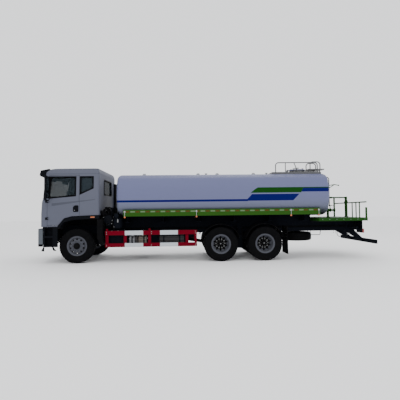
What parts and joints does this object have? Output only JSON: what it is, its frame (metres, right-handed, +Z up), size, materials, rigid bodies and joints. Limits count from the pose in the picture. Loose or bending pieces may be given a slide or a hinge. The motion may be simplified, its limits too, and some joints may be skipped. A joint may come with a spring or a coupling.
{
  "type": "tanker truck",
  "caption": "Six-wheeled water tanker truck with a tilting cab, an oval tank with a top walkway, side guards and a rear spray platform.",
  "frame": {"origin": "on the ground, at the middle of the whole length and width", "axes": "+X towards the front of the truck, +Y to its left, +Z up"},
  "size_m": [10.45, 2.99, 3.167],
  "materials": {
    "cab_paint": "gloss metallic silver grey",
    "tank_paint": "gloss white with blue and green stripes",
    "green_paint": "satin green",
    "guard_paint": "gloss red and white blocks",
    "frame_black": "satin black",
    "cast": "bare cast, dusty",
    "tank_metal": "satin bare metal",
    "rail_white": "satin light grey",
    "tyre": "matte",
    "rim_silver": "satin silver",
    "glass": "clear tinted",
    "lamp": "clear lens",
    "marker": "tinted lens",
    "trim_black": "grained",
    "inside_plastic": "grained",
    "seat_cloth": "woven",
    "rubber": "matte"
  },
  "bodies": {
    "chassis": {"air_tanks": "frame_black", "battery_box": "frame_black", "cannon_stand": "green_paint", "chassis_frame": "frame_black", "drive_axles": "cast", "engine": "cast", "entry_steps": "trim_black", "front_axle_beam": "cast", "front_bumper": "cab_paint", "fuel_tank": "tank_metal", "headlamps": "lamp", "lamps": "marker", "leaf_springs": "frame_black", "mudguards": "rubber", "pipework": "green_paint", "rear_platform": "green_paint", "side_guards": "guard_paint", "spare_wheel": "tyre", "tank": "tank_paint", "tank_saddles": "frame_black", "tank_skirts": "green_paint", "tank_top_rail": "rail_white", "underrun_bar": "frame_black"},
    "cab": {"cab_floor": "frame_black", "cab_front": "cab_paint", "cab_sides": "cab_paint", "cab_roof": "cab_paint", "cab_rear_wall": "cab_paint", "cab_glass": "glass", "cab_trim": "trim_black", "dashboard": "inside_plastic", "seats": "seat_cloth"},
    "front_flap": {"front_flap": "cab_paint"},
    "door_left": {"door_left": "cab_paint", "door_glass_left": "glass", "mirror_left": "trim_black"},
    "door_right": {"door_right": "cab_paint", "door_glass_right": "glass", "mirror_right": "trim_black"},
    "knuckle_left": {"knuckle_left": "cast"},
    "knuckle_right": {"knuckle_right": "cast"},
    "front_wheel_left": {"front_wheel_left": "rim_silver", "front_tyre_left": "tyre"},
    "front_wheel_right": {"front_wheel_right": "rim_silver", "front_tyre_right": "tyre"},
    "manhole_lid": {"manhole_lid": "tank_paint"},
    "cannon_turret": {"cannon_turret": "green_paint"},
    "cannon_barrel": {"cannon_barrel": "green_paint"},
    "front_drive_wheels_left": {"wheels_front_drive_left": "rim_silver", "tyres_front_drive_left": "tyre"},
    "front_drive_wheels_right": {"wheels_front_drive_right": "rim_silver", "tyres_front_drive_right": "tyre"},
    "rear_drive_wheels_left": {"wheels_rear_drive_left": "rim_silver", "tyres_rear_drive_left": "tyre"},
    "rear_drive_wheels_right": {"wheels_rear_drive_right": "rim_silver", "tyres_rear_drive_right": "tyre"}
  },
  "joints": [
    {"name": "steer_left", "type": "hinge", "parent": "chassis", "child": "knuckle_left", "pos_m": [3.955, 0.86, 0.52], "axis": [0, 0, 1], "range_deg": [-36, 36]},
    {"name": "steer_right", "type": "hinge", "parent": "chassis", "child": "knuckle_right", "pos_m": [3.955, -0.86, 0.52], "axis": [0, 0, 1], "range_deg": [-36, 36]},
    {"name": "front_wheel_left_spin", "type": "hinge", "parent": "knuckle_left", "child": "front_wheel_left", "pos_m": [3.955, 1.01, 0.52], "axis": [0, 1, 0], "continuous": true},
    {"name": "front_wheel_right_spin", "type": "hinge", "parent": "knuckle_right", "child": "front_wheel_right", "pos_m": [3.955, -1.01, 0.52], "axis": [0, 1, 0], "continuous": true},
    {"name": "front_drive_left_spin", "type": "hinge", "parent": "chassis", "child": "front_drive_wheels_left", "pos_m": [-0.395, 0.93, 0.52], "axis": [0, 1, 0], "continuous": true},
    {"name": "front_drive_right_spin", "type": "hinge", "parent": "chassis", "child": "front_drive_wheels_right", "pos_m": [-0.395, -0.93, 0.52], "axis": [0, 1, 0], "continuous": true},
    {"name": "rear_drive_left_spin", "type": "hinge", "parent": "chassis", "child": "rear_drive_wheels_left", "pos_m": [-1.745, 0.93, 0.52], "axis": [0, 1, 0], "continuous": true},
    {"name": "rear_drive_right_spin", "type": "hinge", "parent": "chassis", "child": "rear_drive_wheels_right", "pos_m": [-1.745, -0.93, 0.52], "axis": [0, 1, 0], "continuous": true},
    {"name": "cab_tilt", "type": "hinge", "parent": "chassis", "child": "cab", "pos_m": [5.07, 0, 1.06], "axis": [0, 1, 0], "range_deg": [0, 50]},
    {"name": "door_left_hinge", "type": "hinge", "parent": "cab", "child": "door_left", "pos_m": [4.778, 1.214, 1.9], "axis": [0, 0, -1], "range_deg": [0, 70]},
    {"name": "door_right_hinge", "type": "hinge", "parent": "cab", "child": "door_right", "pos_m": [4.778, -1.214, 1.9], "axis": [0, 0, 1], "range_deg": [0, 70]},
    {"name": "front_flap_hinge", "type": "hinge", "parent": "cab", "child": "front_flap", "pos_m": [5.131, 0, 1.8], "axis": [0, -1, 0], "range_deg": [0, 75]},
    {"name": "manhole_lid_hinge", "type": "hinge", "parent": "chassis", "child": "manhole_lid", "pos_m": [-2.815, 0, 2.883], "axis": [0, 1, 0], "range_deg": [0, 100]},
    {"name": "cannon_slew", "type": "hinge", "parent": "chassis", "child": "cannon_turret", "pos_m": [-4.835, 0, 1.76], "axis": [0, 0, 1], "range_deg": [-160, 160]},
    {"name": "cannon_elevate", "type": "hinge", "parent": "cannon_turret", "child": "cannon_barrel", "pos_m": [-4.835, 0, 1.94], "axis": [0, -1, 0], "range_deg": [-10, 60]}
  ],
  "couplings": [
    {"joint": "steer_right", "follows": "steer_left", "ratio": 1}
  ]
}
